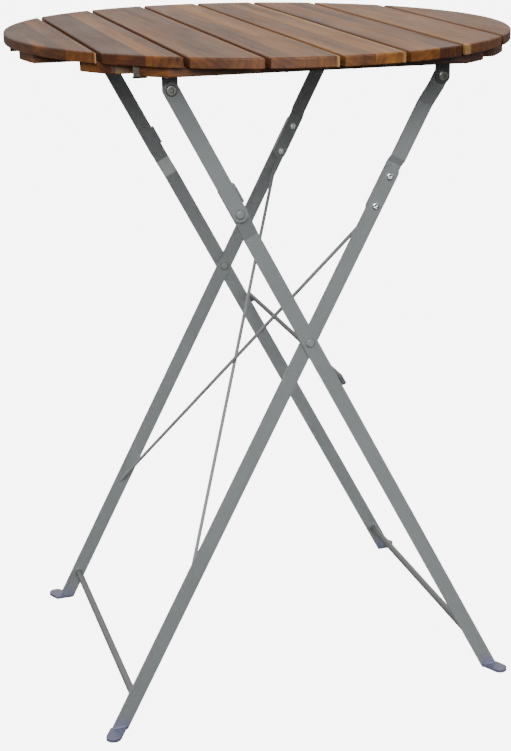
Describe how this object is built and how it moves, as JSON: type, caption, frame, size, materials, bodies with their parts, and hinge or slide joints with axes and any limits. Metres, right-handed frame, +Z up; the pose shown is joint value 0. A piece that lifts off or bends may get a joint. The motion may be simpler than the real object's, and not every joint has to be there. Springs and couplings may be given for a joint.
{
  "type": "folding bistro table",
  "caption": "Bar-height folding bistro table: round slatted wooden top on a scissor frame of flat steel bars with cross braces",
  "frame": {"origin": "on the floor under the middle of the round top", "axes": "+Z up; X is the way the legs spread; Y runs along the slats, with the front at -Y"},
  "size_m": [0.82, 0.82, 1.1],
  "materials": {
    "oiled_wood": "oiled, satin",
    "grey_paint": "powder coat, satin",
    "hinge_steel": "dull zinc",
    "zinc_fastener": "bright zinc"
  },
  "bodies": {
    "outer_frame": {"outer_leg_front": "grey_paint", "outer_leg_rear": "grey_paint", "outer_foot_rod": "grey_paint", "fold_stop_rod": "grey_paint", "pivot_rivet_front": "grey_paint", "pivot_rivet_rear": "grey_paint", "elbow_rivet_tail_front": "grey_paint", "elbow_rivet_tail_rear": "grey_paint"},
    "inner_frame": {"inner_leg_front": "grey_paint", "inner_leg_rear": "grey_paint", "inner_extension_front": "grey_paint", "inner_extension_rear": "grey_paint", "inner_foot_rod": "grey_paint", "brace_rod_rear_high": "grey_paint", "brace_rod_front_high": "grey_paint", "splice_bolts_front": "zinc_fastener", "splice_bolts_rear": "zinc_fastener", "splice_nuts_front": "zinc_fastener", "splice_nuts_rear": "zinc_fastener", "pivot_washer_front": "hinge_steel", "pivot_washer_rear": "hinge_steel"},
    "top": {"slat_1": "oiled_wood", "slat_2": "oiled_wood", "slat_3": "oiled_wood", "slat_4": "oiled_wood", "slat_5": "oiled_wood", "slat_6": "oiled_wood", "slat_7": "oiled_wood", "slat_8": "oiled_wood", "batten_outer_front": "oiled_wood", "batten_outer_rear": "oiled_wood", "batten_main_front": "oiled_wood", "batten_main_rear": "oiled_wood", "batten_centre_front": "oiled_wood", "batten_centre_rear": "oiled_wood", "slat_screws_outer": "zinc_fastener", "slat_screws_main": "zinc_fastener", "slat_screws_centre": "zinc_fastener", "bracket_screws": "zinc_fastener", "fold_catch": "hinge_steel", "bracket_left_front": "grey_paint", "bracket_left_rear": "grey_paint", "bracket_right_front": "grey_paint", "bracket_right_rear": "grey_paint", "hinge_pin_left_front": "hinge_steel", "hinge_pin_left_rear": "hinge_steel", "hinge_pin_right_front": "hinge_steel", "hinge_pin_right_rear": "hinge_steel"},
    "link_front": {"link_front": "grey_paint", "elbow_rivet_head_front": "grey_paint"},
    "link_rear": {"link_rear": "grey_paint", "elbow_rivet_head_rear": "grey_paint"}
  },
  "joints": [
    {"name": "scissor_fold", "type": "hinge", "parent": "outer_frame", "child": "inner_frame", "pos_m": [0, 0, 0.633], "axis": [0, -1, 0], "range_deg": [0, 53]},
    {"name": "top_tilt", "type": "hinge", "parent": "inner_frame", "child": "top", "pos_m": [0.21432, 0, 1.04296], "axis": [0, -1, 0], "range_deg": [0, 53.2]},
    {"name": "link_front_swing", "type": "hinge", "parent": "top", "child": "link_front", "pos_m": [-0.21432, -0.271, 1.04296], "axis": [0, -1, 0], "range_deg": [0, 55.7]},
    {"name": "link_rear_swing", "type": "hinge", "parent": "top", "child": "link_rear", "pos_m": [-0.21432, 0.271, 1.04296], "axis": [0, -1, 0], "range_deg": [0, 55.7]}
  ],
  "couplings": [
    {"joint": "top_tilt", "follows": "scissor_fold", "ratio": 1.0036},
    {"joint": "link_front_swing", "follows": "scissor_fold", "ratio": 1.0508},
    {"joint": "link_rear_swing", "follows": "scissor_fold", "ratio": 1.0508}
  ]
}
